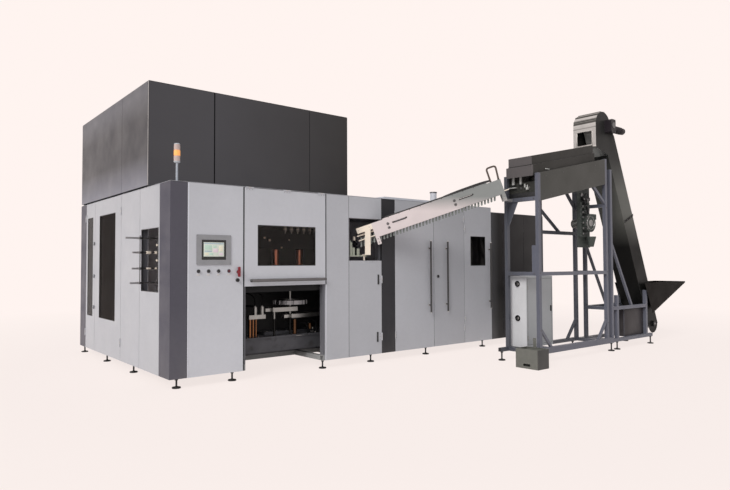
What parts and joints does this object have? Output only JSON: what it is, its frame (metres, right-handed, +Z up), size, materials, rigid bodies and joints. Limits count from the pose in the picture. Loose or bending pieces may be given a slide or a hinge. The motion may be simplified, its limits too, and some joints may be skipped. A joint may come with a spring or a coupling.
{
  "type": "blow moulding machine",
  "caption": "Stretch blow moulding machine with hinged cabinet doors, a control panel, a feed chute, and an inclined preform lift with sorter and hopper.",
  "frame": {"origin": "middle of the footprint on the floor, under the centre of the whole machine's bounding box", "axes": "+X along the long front to the right, towards the hopper; +Y to the rear; +Z up"},
  "size_m": [8.879, 5.387, 3.5998],
  "materials": {
    "frame_paint": "satin grey paint",
    "foot_steel": "zinc plated",
    "dark_paint": "satin charcoal paint",
    "panel_paint": "satin light grey paint",
    "upper_paint": "satin near-black paint",
    "bay_paint": "satin mid grey paint",
    "cast_bed": "painted casting with a machined top",
    "machined_steel": "machined",
    "bronze": "turned bronze",
    "wheel_alloy": "machined",
    "rail_steel": "brushed",
    "hinge_steel": "satin",
    "lamp_plastic": "clear and amber lenses",
    "bezel_grey": "moulded",
    "screen": "touch screen with a dark border",
    "button_black": "moulded",
    "button_dark_red": "moulded",
    "lever_red": "moulded",
    "black_plastic": "moulded",
    "dark_pane": "smoked",
    "handle_steel": "brushed",
    "frame_paint_light": "satin blue-grey paint",
    "trough_paint": "satin dark paint",
    "hood_paint": "satin dark paint",
    "roller_steel": "turned",
    "kicker_rubber": "moulded",
    "drive_paint": "grey-green paint",
    "casing_paint": "satin dark grey paint",
    "belt_rubber": "ribbed",
    "drum_steel": "turned",
    "cover_steel": "bright sheet",
    "motor_paint": "grey paint",
    "hopper_paint": "satin dark paint",
    "cabinet_paint": "satin pale paint",
    "bin_paint": "worn grey paint",
    "chute_sheet": "satin sheet",
    "rail_white": "machined white plastic",
    "preform_plastic": "milky",
    "conduit_plastic": "ribbed"
  },
  "bodies": {
    "machine": {"blow_station": "machined_steel", "chute_conduit": "conduit_plastic", "chute_plates": "chute_sheet", "chute_rails": "rail_white", "control_bezels": "bezel_grey", "control_panel": "panel_paint", "dark_cladding": "dark_paint", "drive_unit": "drive_paint", "front_panels": "panel_paint", "guide_rods": "bronze", "head_cover": "cover_steel", "head_gearmotor": "motor_paint", "hinge_pins": "hinge_steel", "hopper": "hopper_paint", "levelling_feet": "foot_steel", "lift_belt": "belt_rubber", "lift_casing": "casing_paint", "lift_stand": "frame_paint_light", "machine_bed": "cast_bed", "main_frame": "frame_paint", "outfeed_rails": "rail_steel", "preforms": "preform_plastic", "rear_and_roof_panels": "panel_paint", "scrap_bin": "bin_paint", "screen_glass": "screen", "service_bay_walls": "bay_paint", "side_cabinet": "cabinet_paint", "side_panels": "panel_paint", "sorter_frame": "frame_paint_light", "tower_light": "lamp_plastic", "trough_hood": "hood_paint", "trough_plates": "trough_paint", "upper_panels": "upper_paint"},
    "lift_door": {"lift_door": "panel_paint", "lift_door_glass": "dark_pane", "lift_door_handle": "handle_steel"},
    "feed_door": {"feed_door": "panel_paint"},
    "left_leaf": {"left_leaf_door": "panel_paint", "left_leaf_handle": "handle_steel"},
    "right_leaf": {"right_leaf_door": "panel_paint", "right_leaf_handle": "handle_steel"},
    "narrow_door": {"narrow_door": "panel_paint", "narrow_door_glass": "dark_pane", "narrow_door_handle": "handle_steel"},
    "side_door_a": {"side_door_a": "panel_paint", "side_door_a_glass": "dark_pane"},
    "side_door_b": {"side_door_b": "panel_paint", "side_door_b_glass": "dark_pane"},
    "button_1": {"push_button_1": "button_black"},
    "button_2": {"push_button_2": "button_black"},
    "button_3": {"push_button_3": "button_black"},
    "button_4": {"push_button_4": "button_dark_red"},
    "switch_lever": {"switch_lever": "lever_red"},
    "key_knob": {"key_knob": "black_plastic"},
    "transfer_wheel": {"transfer_wheel": "wheel_alloy"},
    "roller_front": {"sorting_roller_front": "roller_steel"},
    "roller_back": {"sorting_roller_back": "roller_steel"},
    "kicker_wheel": {"kicker_wheel": "kicker_rubber"},
    "head_drum": {"head_drum": "drum_steel"},
    "tail_drum": {"tail_drum": "drum_steel"}
  },
  "joints": [
    {"name": "lift_door_hinge", "type": "hinge", "parent": "machine", "child": "lift_door", "pos_m": [-2.746, -0.9125, 2.196], "axis": [-1, 0, 0], "range_deg": [0, 85]},
    {"name": "feed_door_hinge", "type": "hinge", "parent": "machine", "child": "feed_door", "pos_m": [-1.2515, -0.9125, 0.714], "axis": [0, 0, 1], "range_deg": [0, 100]},
    {"name": "left_leaf_hinge", "type": "hinge", "parent": "machine", "child": "left_leaf", "pos_m": [-1.0095, -0.9125, 1.16], "axis": [0, 0, -1], "range_deg": [0, 50]},
    {"name": "right_leaf_hinge", "type": "hinge", "parent": "machine", "child": "right_leaf", "pos_m": [0.40505, -0.9125, 1.16], "axis": [0, 0, 1], "range_deg": [0, 80]},
    {"name": "narrow_door_hinge", "type": "hinge", "parent": "machine", "child": "narrow_door", "pos_m": [0.42195, -0.9125, 1.16], "axis": [0, 0, -1], "range_deg": [0, 80]},
    {"name": "side_door_a_hinge", "type": "hinge", "parent": "machine", "child": "side_door_a", "pos_m": [-4.1805, 0.7505, 1.16], "axis": [0, 0, 1], "range_deg": [0, 90]},
    {"name": "side_door_b_hinge", "type": "hinge", "parent": "machine", "child": "side_door_b", "pos_m": [-4.1805, 2.3965, 1.16], "axis": [0, 0, -1], "range_deg": [0, 90]},
    {"name": "button_1_press", "type": "slide", "parent": "machine", "child": "button_1", "axis": [0, 1, 0], "range_m": [0, 0.005], "stiffness_N_per_m": 800},
    {"name": "button_2_press", "type": "slide", "parent": "machine", "child": "button_2", "axis": [0, 1, 0], "range_m": [0, 0.005], "stiffness_N_per_m": 800},
    {"name": "button_3_press", "type": "slide", "parent": "machine", "child": "button_3", "axis": [0, 1, 0], "range_m": [0, 0.005], "stiffness_N_per_m": 800},
    {"name": "button_4_press", "type": "slide", "parent": "machine", "child": "button_4", "axis": [0, 1, 0], "range_m": [0, 0.005], "stiffness_N_per_m": 800},
    {"name": "switch_turn", "type": "hinge", "parent": "machine", "child": "switch_lever", "pos_m": [-3.3925, -0.9305, 1.226], "axis": [0, 1, 0], "range_deg": [0, 90]},
    {"name": "key_knob_turn", "type": "hinge", "parent": "machine", "child": "key_knob", "pos_m": [-3.3995, -0.9285, 1.133], "axis": [0, 1, 0], "range_deg": [0, 90]},
    {"name": "transfer_wheel_spin", "type": "hinge", "parent": "machine", "child": "transfer_wheel", "pos_m": [-2.4615, -0.5165, 0.83], "axis": [0, 0, 1], "continuous": true},
    {"name": "roller_front_spin", "type": "hinge", "parent": "machine", "child": "roller_front", "pos_m": [0.2155, -2.2465, 2.33], "axis": [0.9778, 0, 0.2095], "continuous": true},
    {"name": "roller_back_spin", "type": "hinge", "parent": "machine", "child": "roller_back", "pos_m": [0.2155, -2.1165, 2.33], "axis": [0.9778, 0, 0.2095], "continuous": true},
    {"name": "kicker_spin", "type": "hinge", "parent": "machine", "child": "kicker_wheel", "pos_m": [0.2955, -2.1815, 2.49214], "axis": [0, 1, 0], "continuous": true},
    {"name": "head_drum_spin", "type": "hinge", "parent": "machine", "child": "head_drum", "pos_m": [2.0155, -2.1815, 3.38268], "axis": [0, 1, 0], "continuous": true},
    {"name": "tail_drum_spin", "type": "hinge", "parent": "machine", "child": "tail_drum", "pos_m": [3.37712, -2.1815, 0.31], "axis": [0, 1, 0], "continuous": true}
  ],
  "couplings": [
    {"joint": "roller_back_spin", "follows": "roller_front_spin", "ratio": -1},
    {"joint": "tail_drum_spin", "follows": "head_drum_spin", "ratio": 1}
  ]
}
